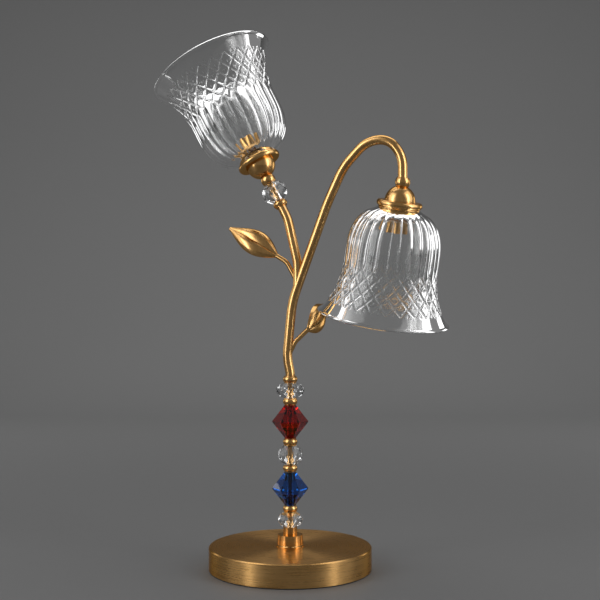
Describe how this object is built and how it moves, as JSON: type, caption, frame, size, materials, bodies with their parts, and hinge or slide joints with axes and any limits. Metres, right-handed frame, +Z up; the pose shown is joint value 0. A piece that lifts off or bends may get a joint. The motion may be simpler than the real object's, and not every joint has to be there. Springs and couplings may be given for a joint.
{
  "type": "table lamp",
  "caption": "Brass table lamp with a round base, a column of cut glass beads, bent stems with cast leaves and fluted glass tulip shades.",
  "frame": {"origin": "centre of the base's underside, on the column's axis", "axes": "+Z up; both arms lie in the XZ plane, with the hanging shade on the +X side; +Y is the back, where the cable hole is"},
  "size_m": [0.2961, 0.1602, 0.5298],
  "materials": {
    "base_brass": "circular-brushed and lacquered, warm",
    "blue_crystal": "deep blue faceted crystal",
    "bush_plastic": "moulded, ivory",
    "ceramic": "glazed white ceramic",
    "clear_crystal": "clear faceted crystal",
    "foam_pad": "closed-cell foam, matt black",
    "plated_steel": "plain zinc-plated",
    "red_crystal": "dark red faceted crystal",
    "satin_brass": "satin polished and lacquered, warm",
    "shade_glass": "clear pressed glass, fluted and cut",
    "silicone": "translucent silicone"
  },
  "bodies": {
    "lamp": {"base_cover": "base_brass", "base_nut": "plated_steel", "base_pad": "foam_pad", "base_washer": "plated_steel", "base_weight": "plated_steel", "blue_bead": "blue_crystal", "cable_bush": "bush_plastic", "collar_sleeve": "satin_brass", "column_rod": "satin_brass", "foot_collar": "satin_brass", "left_arm": "satin_brass", "left_arm_crystal": "clear_crystal", "left_arm_ring": "satin_brass", "left_arm_rod": "satin_brass", "left_dome": "satin_brass", "left_gallery": "satin_brass", "left_gasket": "silicone", "left_lampholder": "ceramic", "left_leaf": "satin_brass", "left_neck_ball": "satin_brass", "left_nipple": "satin_brass", "low_crystal": "clear_crystal", "main_stem": "satin_brass", "middle_crystal": "clear_crystal", "red_bead": "red_crystal", "right_dome": "satin_brass", "right_gallery": "satin_brass", "right_gasket": "silicone", "right_lampholder": "ceramic", "right_leaf": "satin_brass", "right_neck_ball": "satin_brass", "right_nipple": "satin_brass", "ring_above_blue": "satin_brass", "ring_above_red": "satin_brass", "ring_below_red": "satin_brass", "ring_low": "satin_brass", "ring_top": "satin_brass", "top_crystal": "clear_crystal"},
    "left_shade": {"left_shade": "shade_glass"},
    "right_shade": {"right_shade": "shade_glass"},
    "left_sleeve": {"left_lamp_sleeve": "satin_brass"},
    "right_sleeve": {"right_lamp_sleeve": "satin_brass"}
  },
  "joints": [
    {"name": "left_shade_turn", "type": "hinge", "parent": "lamp", "child": "left_shade", "pos_m": [-0.0573, 0, 0.44612], "axis": [-0.4741, 0, 0.8805], "continuous": true},
    {"name": "left_sleeve_turn", "type": "hinge", "parent": "lamp", "child": "left_sleeve", "pos_m": [-0.03929, 0, 0.41267], "axis": [-0.4741, 0, 0.8805], "range_deg": [0, 720]},
    {"name": "right_shade_turn", "type": "hinge", "parent": "lamp", "child": "right_shade", "pos_m": [0.10199, 0.00806, 0.30636], "axis": [-0.1828, 0.1132, -0.9766], "continuous": true},
    {"name": "right_sleeve_turn", "type": "hinge", "parent": "lamp", "child": "right_sleeve", "pos_m": [0.10893, 0.00376, 0.34348], "axis": [-0.1828, 0.1132, -0.9766], "range_deg": [0, 720]}
  ]
}
